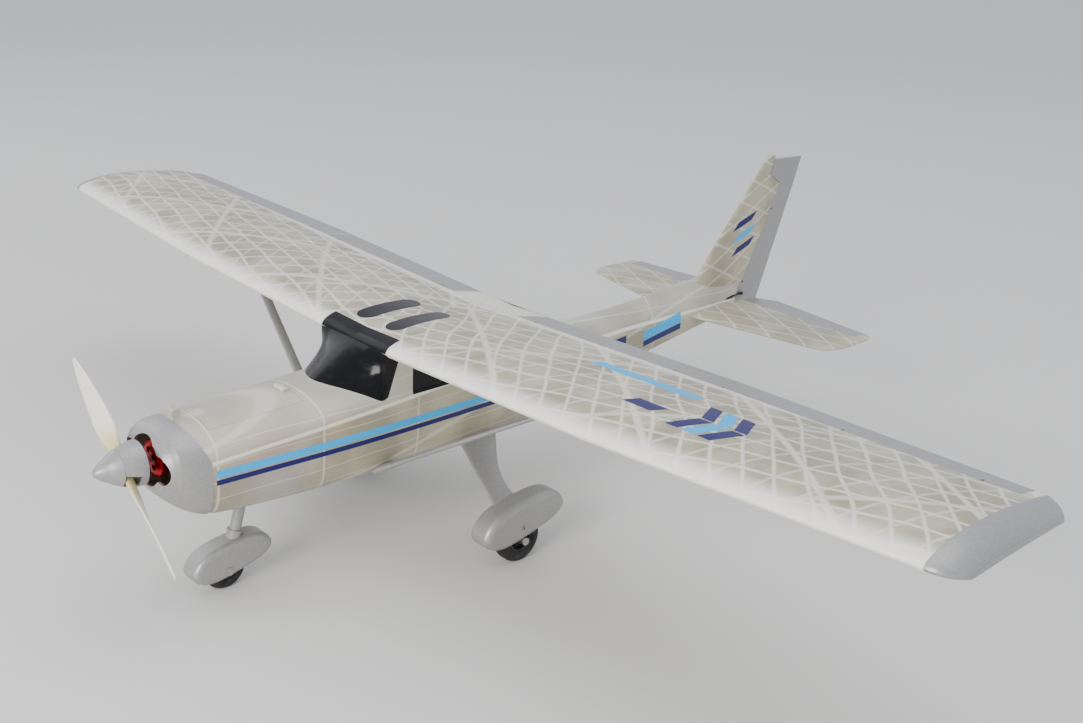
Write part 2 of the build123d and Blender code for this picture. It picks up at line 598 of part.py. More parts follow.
def build_stabiliser(solid_cone):
    """Stabiliser and elevator halves with their lugs and pins."""
    def stab_face(x, lead, trail, ratio):
        return aerofoil(x, (lead, STAB_Z), (trail, STAB_Z), ratio, rise=0.0)
    half = loft([stab_face(*row) for row in STAB_AT[:2]], ruled=True)
    half += loft([stab_face(*row) for row in STAB_AT[1:]])
    stops = []
    for x in (ELEVATOR_IN, ELEVATOR_OUT):
        share = x / STAB_AT[1][0]
        lead = STAB_AT[0][1] + share * (STAB_AT[1][1] - STAB_AT[0][1])
        trail = STAB_AT[0][2] + share * (STAB_AT[1][2] - STAB_AT[0][2])
        chord = trail - lead
        radius = chord * half_thickness((ELEVATOR_HINGE_Y - lead) / chord, STAB_AT[0][3])
        stops.append((Vector(x, ELEVATOR_HINGE_Y, STAB_Z), Vector(x, trail, STAB_Z), radius))
    fittings = hinges(stops, (0.18, 0.82), size=1.6, pin_r=0.5)
    cells = []
    for x in (18, 171):
        share = x / STAB_AT[1][0]
        lead = STAB_AT[0][1] + share * (STAB_AT[1][1] - STAB_AT[0][1])
        trail = STAB_AT[0][2] + share * (STAB_AT[1][2] - STAB_AT[0][2])
        cells.append(aerofoil(x, (lead, STAB_Z), (trail, STAB_Z), STAB_AT[0][3], rise=0.0,
                              start=0.04, end=0.65, wall=WING_SKIN))
    half -= loft(cells, ruled=True)
    half = half - cove(stops, Z_AXIS) + fittings["lugs"] - fittings["pins"]
    half -= block((-1, ELEVATOR_IN), (843, 999), (100, 200))
    half = largest(half - solid_cone)
    save("stabiliser", half, flip(half))
    elevator = surface(stops, Z_AXIS) - fittings["slots"] - fittings["bores"]
    notch = prism_z([(ELEVATOR_IN - 1, 884), (37, 900), (37, 920), (ELEVATOR_IN - 1, 920)], 130, 180)
    elevator -= notch
    joiner = elevator_joiner()
    elevator -= joiner
    left = largest(elevator)
    save("elevator", left, flip(left), joiner)
    return fittings["pins"]


def build_fin(solid_cone):
    """Fin and rudder with their lugs and pins."""
    hinge_low = Vector(0, *along_line(RUDDER_HINGE, RUDDER_TE[0][1]))
    hinge_high = Vector(0, *RUDDER_HINGE[1])
    stops = []
    for hinge in (hinge_low, hinge_high):
        trail = Vector(0, *along_line(RUDDER_TE, hinge.Z))
        lead_y = along_line((FIN_LOW[0], FIN_HIGH[0]), hinge.Z)[0]
        chord = trail.Y - lead_y
        radius = min(4.2, chord * half_thickness((hinge.Y - lead_y) / chord, FIN_THICK))
        stops.append((hinge, trail, radius))
    fittings = hinges(stops, (0.2, 0.8), size=1.7, pin_r=0.5)
    blade = loft([fin_face(-8), fin_face(1)], ruled=True)
    cell = loft([fin_face(-2, start=0.08, end=0.5, wall=WING_SKIN),
                 fin_face(0.9, start=0.08, end=0.5, wall=WING_SKIN)], ruled=True)
    front = prism_x([(600, 100), (600, 400), (RUDDER_TOP_FRONT[0] - GAP, 400),
                     (RUDDER_TOP_FRONT[0] - GAP, RUDDER_TOP_FRONT[1]),
                     (RUDDER_NOTCH[0] - GAP, RUDDER_NOTCH[1]), (hinge_high.Y, hinge_high.Z - GAP),
                     (hinge_low.Y, hinge_low.Z), (hinge_low.Y, 100)], -30, 30)
    fin = (blade & front) - cell - cove(stops, X_AXIS, over=1.5) + fittings["lugs"] - fittings["pins"]
    fin -= solid_cone
    fin = largest(fin & block((-30, 30), (700, 999), (150, 400)))
    save("fin", fin)
    rudder = surface(stops, X_AXIS)
    head = prism_x([(hinge_high.Y, hinge_high.Z), RUDDER_NOTCH, RUDDER_TOP_FRONT,
                    (RUDDER_TE[1][0], RUDDER_TE[1][1] + 4), along_line(RUDDER_TE, hinge_high.Z)], -30, 30)
    rudder += blade & head
    rudder = rudder - fittings["slots"] - fittings["bores"]
    horn_foot = Vector(2.5, *along_line(RUDDER_HINGE, RUDDER_HORN_Z)) + Y_AXIS * 2.8
    rudder += horn(horn_foot, Y_AXIS, X_AXIS, RUDDER_HORN_REACH, side=Z_AXIS)
    save("rudder", rudder)
    return fittings["pins"]


def along_line(line, z):
    """The (Y, Z) point at height z on a line of two (Y, Z) points."""
    (y0, z0), (y1, z1) = line
    return y0 + (y1 - y0) * (z - z0) / (z1 - z0), z


def fin_face(level, start=0.0, end=1.0, wall=0.0):
    """A level section of the fin and rudder together; with a wall it is the hollow inside."""
    (low_lead, low_trail), (high_lead, high_trail) = FIN_LOW, FIN_HIGH
    z = high_lead[1] - (1 - level) * 60 if level > 0 else low_lead[1] + level * 6
    lead_y = along_line((low_lead, high_lead), z)[0]
    trail_y = along_line((low_trail, high_trail), z)[0]
    chord, left, right = trail_y - lead_y, [], []
    for i in range(13):
        u = start + (end - start) * (1 - cos(pi * i / 12)) / 2
        half = chord * half_thickness(u, FIN_THICK) + 0.5 * u - wall
        left.append((half, lead_y + u * chord, z))
        right.append((-half, lead_y + u * chord, z))
    if start == 0:
        right[0] = left[0]
    edges = [Spline(*left), Line(left[-1], right[-1]), Spline(*right)]
    if start > 0:
        edges.append(Line(right[0], left[0]))
    return make_face(edges)


def prism_z(outline, low, high):
    """A prism along Z from an (X, Y) outline."""
    face = make_face(Polyline(*[(x, y, low) for x, y in outline], close=True))
    return extrude(face, amount=high - low, dir=Z_AXIS)


def elevator_joiner():
    """The bent wire that joins the elevator halves under the rudder."""
    x, z, drop, r = ELEVATOR_IN + 7, STAB_Z, 13.0, 1.0
    y = ELEVATOR_HINGE_Y + 8
    low = rod((-x, y, z - drop), (x, y, z - drop), r)
    legs = rod((x, y, z - drop - r), (x, y, z + 1), r)
    legs += flip(legs)
    return low + legs


def build_struts_and_legs(wing, body):
    """Wing struts and the flat main legs, cut to what they meet."""
    along = (STRUT_HEAD - STRUT_FOOT).normalized()
    flat = Y_AXIS.cross(along).normalized()
    across = along.cross(flat)
    sections = []
    for share, long_, thick in STRUT_SECTIONS:
        centre = STRUT_FOOT + (STRUT_HEAD - STRUT_FOOT) * share
        sections.append(ring(centre, across, flat, long_, thick, thick))
    strut = largest((loft(sections, ruled=True) - body) - wing)
    save("strut_left", strut)
    save("strut_right", flip(strut))
    sections = []
    for x, front, rear, z in LEG_AT:
        middle = Vector(x, (front + rear) / 2, z)
        sections.append(ring(middle, Y_AXIS, Z_AXIS, (rear - front) / 2, 3.8, 3.8, 2.6, 2.6))
    return loft(sections)


def build_main_gear(leg, body, plate_room):
    """Main legs, split wheel pants, axles and wheels."""
    axle_z = FLOOR + MAIN_R
    pod, bay = pant(**MAIN_PANT, x=MAIN_X)
    mouth = block((MAIN_X - 10.5, MAIN_X + 10.5), (MAIN_Y - 27, MAIN_Y + 27), (10, 50))
    shell = pod - bay - mouth
    pin = axle(MAIN_X, MAIN_Y, axle_z, MAIN_PANT["half"])
    leg = largest(leg - pod - body - plate_room)
    shell -= pin
    halves = []
    for low, high in ((200, MAIN_SPLIT_Y), (MAIN_SPLIT_Y, 600)):
        halves += [solid for solid in (shell & block((60, 200), (low, high), (0, 120))).solids()
                   if solid.volume > 20]
    tyre, rim = wheel(MAIN_X, MAIN_Y, axle_z, MAIN_R, MAIN_TREAD)
    for side, turn in (("left", lambda s: s), ("right", flip)):
        save(f"gear_leg_{side}", turn(leg), turn(pin))
        save(f"pant_{side}", *[turn(half) for half in halves])
        save(f"main_tyre_{side}", turn(tyre))
        save(f"main_rim_{side}", turn(rim))


def build_nose_gear(body):
    """Steerable nose leg in its fixed sleeve, with its pant, axle and wheel."""
    axle_z = FLOOR + NOSE_R
    along = (STEER_HEAD - STEER_FOOT).normalized()
    ahead = X_AXIS.cross(along).normalized()
    pod, bay = pant(**NOSE_PANT, cavity_half=10.5, wall=3.2)
    mouth = block((-9, 9), (NOSE_Y - 24, NOSE_Y + 24), (2, 40))
    pin = axle(0, NOSE_Y, axle_z, NOSE_PANT["half"])
    shell = largest(pod - bay - mouth - pin)
    leg = rod(STEER_FOOT + along * 20, STEER_HEAD - along * 16, 5.5)
    leg += rod(STEER_HEAD - along * 20, STEER_HEAD + along * 9, 3)
    collar = rod(STEER_FOOT + along * 25, STEER_FOOT + along * 34, 7.5)
    leg = largest(leg + collar - pod)
    save("nose_leg", leg, pin)
    save("nose_pant", shell)
    sections = []
    for reach, long_, wide in ((-17, 7.2, 7.2), (-9, 8.5, 7.8), (4, 12, 9)):
        sections.append(ring(STEER_HEAD + along * reach, X_AXIS, ahead, wide, long_, long_))
    sleeve = loft(sections, ruled=True) - body
    sleeve -= rod(STEER_HEAD - along * 40, STEER_HEAD + along * 40, 5.5 + RUNNING)
    save("nose_sleeve", largest(sleeve))
    tyre, rim = wheel(0, NOSE_Y, axle_z, NOSE_R, NOSE_TREAD)
    save("nose_tyre", tyre)
    save("nose_rim", rim)


def blade():
    """One propeller blade, pointing up, in the plane of the propeller."""
    centre = Vector(0, PROP_Y, THRUST_Z)
    sections = []
    for reach, chord, thick, pitch in BLADE_AT:
        across = X_AXIS.rotate(Axis.Z, pitch)
        lift = across.cross(Z_AXIS)
        sections.append(ring(centre + Z_AXIS * reach, across, lift, chord / 2,
                             thick * 0.6, thick * 0.4, 2.2, 2.2))
    return loft(sections)


def about_thrust(shape, turn):
    """A piece turned about the propeller's axis."""
    return shape.rotate(Axis((0, 0, THRUST_Z), (0, 1, 0)), turn)


def lathe(*profile):
    """A solid of revolution about the propeller's axis from (radius, Y) points."""
    face = make_face(Polyline(*[(r, y, THRUST_Z) for r, y in profile], close=True))
    return revolve(face, Axis((0, 0, THRUST_Z), (0, 1, 0)), 360)


def build_power():
    """Spinner, propeller, shaft, outrunner motor."""
    nose = Spline((0, 0, THRUST_Z), (3.2, 1.2, THRUST_Z), (10.5, 11.5, THRUST_Z),
                  (16.5, SPINNER_SEAM, THRUST_Z), tangents=[(1, 0, 0), (0.45, 1, 0)])
    base = Polyline((16.5, SPINNER_SEAM, THRUST_Z), (14, SPINNER_SEAM, THRUST_Z),
                    (9, 13, THRUST_Z), (4, 6, THRUST_Z), (0, 5, THRUST_Z), (0, 0, THRUST_Z))
    cone = revolve(make_face([nose, *base.edges()]), Axis((0, 0, THRUST_Z), (0, 1, 0)), 360)
    save("spinner", cone)
    seam = SPINNER_SEAM + 0.2
    ring_part = lathe((16.6, seam), (19.2, 30), (20.5, 37), (SPINNER_R, SPINNER_BACK),
                      (SHAFT_R + 0.01, SPINNER_BACK), (SHAFT_R + 0.01, SPINNER_BACK - 3),
                      (18.6, SPINNER_BACK - 3), (17, 30), (14.5, seam))
    cut = block((-9.5, 9.5), (seam - 1, 36), (THRUST_Z - 60, THRUST_Z + 60))
    hub = lathe((SHAFT_R, 22.6), (8, 22.6), (8, 33.4), (SHAFT_R, 33.4))
    prop = hub + blade() + blade().rotate(Axis((0, 0, THRUST_Z), (0, 1, 0)), 180)
    prop = prop - lathe((0, 10), (SHAFT_R, 10), (SHAFT_R, 50), (0, 50))
    save("spinner_backplate", about_thrust(ring_part - cut, PROP_TURN))
    save("propeller", about_thrust(prop, PROP_TURN))
    shaft = lathe((0, 13), (SHAFT_R, 13), (SHAFT_R, 80), (0, 80))
    nut = extrude(Plane(origin=(0, 17, THRUST_Z), x_dir=X_AXIS, z_dir=Y_AXIS)
                  * RegularPolygon(4.6, 6), amount=5.4)
    collet = lathe((SHAFT_R, 33.6), (7, 33.6), (7, SPINNER_BACK - 3.2), (SHAFT_R, SPINNER_BACK - 3.2))
    save("prop_shaft", shaft + nut + collet)
    bell = lathe((SHAFT_R, BELL_FRONT), (11, BELL_FRONT), (BELL_R, BELL_FRONT + 4),
                 (BELL_R, BELL_BACK), (BELL_R - 2, BELL_BACK), (BELL_R - 2, BELL_FRONT + 6),
                 (SHAFT_R, BELL_FRONT + 4))
    window = Pos(0, BELL_FRONT, THRUST_Z + 9.5) * Box(5, 16, 5)
    save("motor_bell", bell - [about_thrust(window, 60 * i) for i in range(6)])
    stator = lathe((SHAFT_R + RUNNING, BELL_FRONT + 8), (14.5, BELL_FRONT + 8), (14.5, BELL_BACK + 1),
                   (BELL_R - 1, BELL_BACK + 1), (BELL_R - 1, MOTOR_BACK), (SHAFT_R + RUNNING, MOTOR_BACK))
    save("motor_base", stator)


def build_radio():
    """Battery, speed controller, receiver and the two tail servos in the cabin."""
    battery = Pos(0, 145, TRAY_Z + 14.5) * Box(35, 88, 29)
    save("battery", fillet(battery.edges().filter_by(Axis.Y), 3))
    controller = Pos(0, 222, TRAY_Z + 6) * Box(26, 42, 9)
    save("speed_controller", fillet(controller.edges().filter_by(Axis.Y), 1.5))
    receiver = Pos(0, 275, 112) * Box(25, 44, 15)
    save("receiver", fillet(receiver.edges().filter_by(Axis.Z), 1.5))
    servos = []
    for x in (-20, 20):
        case = Pos(x, 352, 115) * Box(12, 23, 24)
        case += Pos(x, 352, 120) * Box(12, 32, 2.5)
        case += rod((x, 346, 126), (x, 346, 130.4), 3)
        servos.append(case)
    save("tail_servos", *servos)
    for name, x in (("rudder", 20), ("elevator", -20)):
        pivot = Vector(x, 346, 132)
        save(f"{name}_arm", arm(pivot, pivot - X_AXIS * copysign(10, x), Z_AXIS))


def tail_rods():
    """Straight pushrods from the servo arms, out through the tail cone, to the tail's horns."""
    return {name: rod(start, end, 1.0) for name, end, start in TAIL_RODS}


def build_screws():
    """Screws: one round head on each main pant and four flush heads in the gear plate."""
    heads = []
    for side in (-1, 1):
        place = Vector(side * (MAIN_X + MAIN_PANT["half"]), MAIN_SPLIT_Y + 2.5, 44)
        heads.append(rod(place, place + X_AXIS * side * 1.4, SCREW_R))
    heads += [rod((x, y, PLATE_BOTTOM), (x, y, 92), SCREW_R) for x, y in PLATE_SCREWS]
    save("screws", *heads)


def main():
    os.makedirs("parts", exist_ok=True)
    wing = [wing_body(0, CENTRE_HALF), wing_body(CENTRE_HALF, SEAM_X)]
    wing += [flip(stretch) for stretch in wing]
    build_cowl()
    build_nose()
    cabin, windows = build_cabin(wing)
    boom, cone, solid_cone = build_boom(wing)
    pins, panes = build_wing()
    save("window_panes", windows, *panes)
    stab_pins, fin_pins = build_stabiliser(solid_cone), build_fin(solid_cone)
    body = hull(70, NOSE_END) + hull(NOSE_END, CABIN_END)
    leg = build_struts_and_legs(wing, body)
    plate_room = block(*GEAR_PLATE, (80, PLATE_TOP))
    build_main_gear(leg, body, plate_room)
    build_nose_gear(body)
    build_power()
    build_radio()
    build_screws()
    save("cabin_section", largest(cabin))
    save("boom_section", largest(boom))
    rods = tail_rods()
    for name, bar in rods.items():
        save(f"{name}_pushrod", bar)
    for _, end, start in TAIL_RODS:
        cone -= rod(start, end, 2.2)
    save("tail_section", largest(cone))
    pins = pins + stab_pins
    save("hinge_pins", *pins, *[flip(pin) for pin in pins], *fin_pins)
    for name, shape in parts.items():
        export_step(shape, f"parts/{name}.step")


main()
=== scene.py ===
"""Finishes, markings and small parts of a 3D-printed high-wing model aeroplane, round its fixed frame."""

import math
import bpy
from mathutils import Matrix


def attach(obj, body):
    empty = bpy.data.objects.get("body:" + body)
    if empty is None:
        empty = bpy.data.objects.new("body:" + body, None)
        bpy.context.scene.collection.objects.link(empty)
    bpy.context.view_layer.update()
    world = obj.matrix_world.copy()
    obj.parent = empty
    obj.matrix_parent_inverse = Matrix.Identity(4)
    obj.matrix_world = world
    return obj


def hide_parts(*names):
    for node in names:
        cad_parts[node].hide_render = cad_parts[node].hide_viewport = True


bl_info = {
    "name": "Printed High-Wing Model Aeroplane",
    "version": (1, 0, 0),
    "blender": (4, 5, 0),
    "location": "3D View > Sidebar > Aeroplane",
    "description": "Finishes, markings and small parts of a 3D-printed model aeroplane",
    "category": "Object",
}

import bmesh
import bpy
from bpy.props import FloatProperty, FloatVectorProperty, IntProperty, PointerProperty
from mathutils import Matrix, Vector

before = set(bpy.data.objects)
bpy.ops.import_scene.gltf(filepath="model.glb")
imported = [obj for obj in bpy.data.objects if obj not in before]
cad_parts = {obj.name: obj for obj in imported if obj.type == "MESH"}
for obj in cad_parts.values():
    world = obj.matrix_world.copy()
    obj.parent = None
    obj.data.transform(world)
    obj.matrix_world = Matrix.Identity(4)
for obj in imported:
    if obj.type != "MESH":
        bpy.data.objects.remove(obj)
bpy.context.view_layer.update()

MM = 0.001
MIDDLE = 484.5      # the drawing's station at the frame's origin, in millimetres
GROUND = 3.0        # the drawing's height of the ground, in millimetres
SIDES = (("left", 1), ("right", -1))


def at(x, y, z):
    """A point of the drawing (millimetres) in the frame (metres)."""
    return Vector((x, y - MIDDLE, z - GROUND)) * MM


def linear(code, alpha=None):
    """An sRGB hex colour as linear values."""
    values = [int(code[i:i + 2], 16) / 255 for i in (1, 3, 5)]
    values = [v / 12.92 if v <= 0.04045 else ((v + 0.055) / 1.055) ** 2.4 for v in values]
    return (*values,) if alpha is None else (*values, alpha)


# ---- settings ----

def colour(name, code, description):
    return FloatVectorProperty(name=name, subtype="COLOR", size=3, min=0, max=1,
                               default=linear(code), description=description)


class SkinColours(bpy.types.PropertyGroup):
    """Colours of the printed shells."""
    cell: colour("Cell", "#938D74", "Natural filament over an open cell")
    body: colour("Body", "#B3AC92", "Natural filament, one wall thick")
    rib: colour("Rib", "#EFEBDC", "Natural filament where a rib stands behind it")
    # Painted highlight: this pale colour lights the wing's leading edge; it is also the pale colour of the printed
    # layer lines.
    edge: colour("Edge", "#FBF8EE", "Natural filament at the doubled leading edge")
    # Painted sky reflection: this cool grey is laid over the body's upper faces above the crease.
    sky_reflection: colour("Upper body", "#C9C9C4", "Natural filament where the body's upper faces turn to the sky")
    silver: colour("Silver", "#B2B1AF", "Silver-grey filament")
    # Partly painted shade: this darker silver fills the grooves between layers; it is also the dark end of the
    # random grain.
    dark_silver_grain_and_groove_shade: colour("Silver in grooves", "#8E8D8C", "Silver-grey filament between layers")


class MarkingSettings(bpy.types.PropertyGroup):
    """Places and colours of the vinyl markings."""
    light: colour("Light blue", "#10B0F2", "Light blue vinyl")
    dark: colour("Dark blue", "#05045C", "Dark blue vinyl")
    film: FloatProperty(name="Film", default=0.09 * MM, unit="LENGTH",
                        description="Thickness of the vinyl")
    start: FloatProperty(name="Start", default=90.5, description="Station where the side stripes start, mm")
    end: FloatProperty(name="End", default=478.0, description="Station where the side stripes end, mm")


class WheelSettings(bpy.types.PropertyGroup):
    """Shape of the tyres."""
    grooves: IntProperty(name="Grooves", default=3, min=0, max=7, description="Grooves round the tread")
    groove_depth: FloatProperty(name="Groove depth", default=0.7 * MM, unit="LENGTH",
                                description="Depth of a tread groove")
    steps: IntProperty(name="Steps", default=72, min=24, max=128, description="Facets round a tyre")


class StageSettings(bpy.types.PropertyGroup):
    """Floor, lights and camera."""
    floor: colour("Floor", "#DAD8D4", "Colour of the floor")
    azimuth: FloatProperty(name="Azimuth", default=math.radians(45.65), subtype="ANGLE",
                           description="Camera's turn round the model")
    elevation: FloatProperty(name="Elevation", default=math.radians(20.54), subtype="ANGLE",
                             description="Camera's height as an angle")
    roll: FloatProperty(name="Roll", default=math.radians(3.19), subtype="ANGLE",
                        description="Camera's roll")
    lens: FloatProperty(name="Lens", default=44.58, description="Focal length on a 36 mm sensor, mm")
    place: FloatVectorProperty(name="Place", default=(0.99773, -0.93379, 0.66145), subtype="TRANSLATION",
                               unit="LENGTH", description="Camera's place")


# ---- nodes ----

def add(tree, kind, props=None, sockets=None):
    """Adds a node with its properties; a socket's value is a number, a colour or another socket."""
    node = tree.nodes.new("ShaderNode" + kind)
    for name, value in (props or {}).items():
        setattr(node, name, value)
    for key, value in (sockets or {}).items():
        if isinstance(value, bpy.types.NodeSocket):
            tree.links.new(value, node.inputs[key])
        elif hasattr(value, "__len__") and len(value) == 3 and node.inputs[key].type == "RGBA":
            node.inputs[key].default_value = (*value, 1.0)
        else:
            node.inputs[key].default_value = value
    return node


def start(name, **shader):
    """A material with a Principled shader; returns its tree, the shader and the object coordinates."""
    made = bpy.data.materials.new(name)
    made.use_nodes = True
    tree = made.node_tree
    tree.nodes.clear()
    bsdf = add(tree, "BsdfPrincipled", sockets={k.replace("_", " "): v for k, v in shader.items()})
    add(tree, "OutputMaterial", sockets={0: bsdf.outputs[0]})
    place = add(tree, "TexCoord").outputs["Object"]
    return made, tree, bsdf, place


def maths(tree, operation, *values):
    """The result of one sum on sockets or numbers."""
    return add(tree, "Math", {"operation": operation}, dict(enumerate(values))).outputs[0]


def fade(tree, value, low, high, to_low=0.0, to_high=1.0):
    """A smooth step of a value between two others."""
    return add(tree, "MapRange", {"interpolation_type": "SMOOTHSTEP"},
               {0: value, 1: low, 2: high, 3: to_low, 4: to_high}).outputs[0]


def blend(tree, share, a, b, mode="MIX"):
    """A mix of two colours."""
    return add(tree, "Mix", {"data_type": "RGBA", "blend_type": mode}, {0: share, 6: a, 7: b}).outputs[2]


def cloud(tree, place, size, detail=3.0, stretch=None):
    """Noise whose blotches are about size (metres) across."""
    if stretch:
        place = add(tree, "Mapping", sockets={0: place, 3: stretch}).outputs[0]
    return add(tree, "TexNoise", sockets={"Vector": place, "Scale": 1 / size, "Detail": detail}).outputs[0]


def bands(tree, place, pitch, direction, wobble=0.0, turn=0.0):
    """Sine bands of a pitch (metres) across X, Y or Z, turned about Z."""
    if turn:
        place = add(tree, "Mapping", sockets={0: place, 2: (0, 0, turn)}).outputs[0]
    return add(tree, "TexWave", {"bands_direction": direction},
               {"Vector": place, "Scale": math.pi / (10 * pitch), "Distortion": wobble,
                "Detail": 1.0, "Detail Scale": 0.6}).outputs["Fac"]


def parts(tree, place):
    """X, Y and Z of a point."""
    return add(tree, "SeparateXYZ", sockets={0: place}).outputs


def within(tree, place, low, high):
    """1 inside a box given by two corners of the drawing, on either side of the middle."""
    x, y, z = parts(tree, place)
    inside = 1.0
    for value, a, b in zip((maths(tree, "ABSOLUTE", x), y, z), at(*low), at(*high)):
        inside = maths(tree, "MULTIPLY", inside, maths(tree, "GREATER_THAN", value, a))
        inside = maths(tree, "MULTIPLY", inside, maths(tree, "LESS_THAN", value, b))
    return inside


def relief(tree, bsdf, height, depth):
    """Bump of a depth (metres) on the shader."""
    bump = add(tree, "Bump", sockets={"Height": height, "Distance": depth, "Strength": 1.0})
    tree.links.new(bump.outputs[0], bsdf.inputs["Normal"])


def give(made, *names):
    """Puts a material on nodes of the frame."""
    for name in names:
        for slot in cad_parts[name].material_slots:
            slot.material = made
        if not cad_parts[name].material_slots:
            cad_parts[name].data.materials.append(made)


def both(*stems):
    """Left and right names of each stem."""
    return [f"{stem}_{side}" for stem in stems for side, _ in SIDES]


# ---- meshes ----

def finish_piece(name, bm, made, body, smooth=True):
    """Makes an object of a bmesh, with its material, riding on a body."""
    mesh = bpy.data.meshes.new(name)
    bm.to_mesh(mesh)
    bm.free()
    mesh.materials.append(made)
    for face in mesh.polygons:
        face.use_smooth = smooth
    piece = bpy.data.objects.new(name, mesh)
    bpy.context.scene.collection.objects.link(piece)
    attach(piece, body)
    return piece


# ---- printed skins ----

def skin_shader(name):
    """Natural PLA, printed one wall thick over ribs and a little clear: satin, with light inside it."""
    return start(name, Roughness=0.38, IOR=1.46, Subsurface_Weight=0.12, Subsurface_Scale=0.004,
                 Subsurface_Radius=(1.0, 0.85, 0.6), Coat_Weight=0.15, Coat_Roughness=0.3)


def ribs(tree, plan, families):
    """Share of rib seen through the skin: families are (turn, pitch, edge, strength, wobble)."""
    total = None
    for turn, pitch, edge, strength, wobble in families:
        wave = bands(tree, plan, pitch, "Y", wobble, -math.radians(turn))
        line = fade(tree, wave, edge, 1.0, 0.0, strength)
        total = line if total is None else maths(tree, "MAXIMUM", total, line)
    return total


def wing_skin():
    """Natural PLA wing panels: crossing ribs show through the skin, with a painted highlight along the leading
    edge.
    """
    look = bpy.context.scene.aeroplane_skin
    made, tree, bsdf, place = skin_shader("natural PLA wing skin, printed on end")
    x, y, _ = parts(tree, place)
    out = maths(tree, "ABSOLUTE", x)
    plan = add(tree, "CombineXYZ", sockets={0: out, 1: y}).outputs[0]
    lines = ribs(tree, plan, [
        (14, 23 * MM, 0.92, 0.65, 2.6), (-50, 24 * MM, 0.92, 0.6, 2.8), (64, 29 * MM, 0.95, 0.4, 2.8),
        (-36, 104 * MM, 0.985, 0.6, 1.4), (38, 131 * MM, 0.99, 0.5, 1.4)])
    blotch = cloud(tree, place, 45 * MM)
    beyond = maths(tree, "MAXIMUM", maths(tree, "SUBTRACT", out, 0.31), 0.0)
    sweep = maths(tree, "MULTIPLY", beyond, 17 / 306)
    behind = maths(tree, "SUBTRACT", maths(tree, "SUBTRACT", y, sweep), (270 - MIDDLE) * MM)
    # Painted highlight: a band along the leading edge is blended towards the pale colour, where the lamps light the
    # nose.
    nose = fade(tree, maths(tree, "ADD", behind, maths(tree, "MULTIPLY", blotch, 0.010)), 0.006, 0.028, 1.0, 0.0)
    tail = fade(tree, behind, 0.150, 0.160)
    flat = blend(tree, fade(tree, blotch, 0.35, 0.65), look.cell, look.body)
    shade = blend(tree, lines, flat, look.rib)
    shade = blend(tree, maths(tree, "MULTIPLY", nose, 0.85), shade, look.edge)
    shade = blend(tree, maths(tree, "MULTIPLY", tail, 0.7), shade, look.rib)
    layers = bands(tree, place, 1.1 * MM, "X", 0.6)
    shade = blend(tree, maths(tree, "MULTIPLY", layers, 0.07), shade, look.edge)
    tree.links.new(shade, bsdf.inputs["Base Color"])
    relief(tree, bsdf, maths(tree, "ADD", layers, maths(tree, "MULTIPLY", lines, 1.2)), 0.05 * MM)
    return made


def body_skin(name, families, top=False, frames=(), crease=None, tints=()):
    """Natural PLA fuselage or tail: long ribs and frames show, parts inside tint it faintly, and faces above the
    crease carry a painted sky reflection.
    """
    look = bpy.context.scene.aeroplane_skin
    made, tree, bsdf, place = skin_shader(name)
    x, y, z = parts(tree, place)
    side = add(tree, "CombineXYZ", sockets={0: y, 1: x if top else z}).outputs[0]
    lines = ribs(tree, side, families)
    for station in frames:
        off = maths(tree, "ABSOLUTE", maths(tree, "SUBTRACT", y, (station - MIDDLE) * MM))
        lines = maths(tree, "MAXIMUM", lines, fade(tree, off, 0.4 * MM, 1.6 * MM, 0.5, 0.0))
    blotch = cloud(tree, place, 60 * MM)
    flat = blend(tree, fade(tree, blotch, 0.35, 0.65), look.cell, look.body)
    for spot, reach, code, strength in tints:
        near = add(tree, "VectorMath", {"operation": "DISTANCE"},
                   {0: add(tree, "CombineXYZ", sockets={1: y, 2: z}).outputs[0], 1: at(0, *spot)})
        share = fade(tree, near.outputs["Value"], reach * 0.2 * MM, reach * MM, strength, 0.0)
        flat = blend(tree, share, flat, linear(code))
    if crease:
        (y0, z0), (y1, z1) = crease
        rise = maths(tree, "MULTIPLY_ADD", y, (z1 - z0) / (y1 - y0),
                     (z0 - GROUND - (y0 - MIDDLE) * (z1 - z0) / (y1 - y0)) * MM)
        above = maths(tree, "SUBTRACT", z, rise)
        line = fade(tree, maths(tree, "ABSOLUTE", above), 0.8 * MM, 3 * MM, 0.9, 0.0)
        lines = maths(tree, "MAXIMUM", lines, line)
        # Painted sky reflection: faces above the crease fade towards a cool grey.
        flat = blend(tree, fade(tree, above, 0, 6 * MM, 0.0, 0.35), flat, look.sky_reflection)
    shade = blend(tree, lines, flat, look.rib)
    layers = bands(tree, place, 1.1 * MM, "Y", 0.6)
    shade = blend(tree, maths(tree, "MULTIPLY", layers, 0.07), shade, look.edge)
    tree.links.new(shade, bsdf.inputs["Base Color"])
    relief(tree, bsdf, maths(tree, "ADD", layers, lines), 0.05 * MM)
    return made


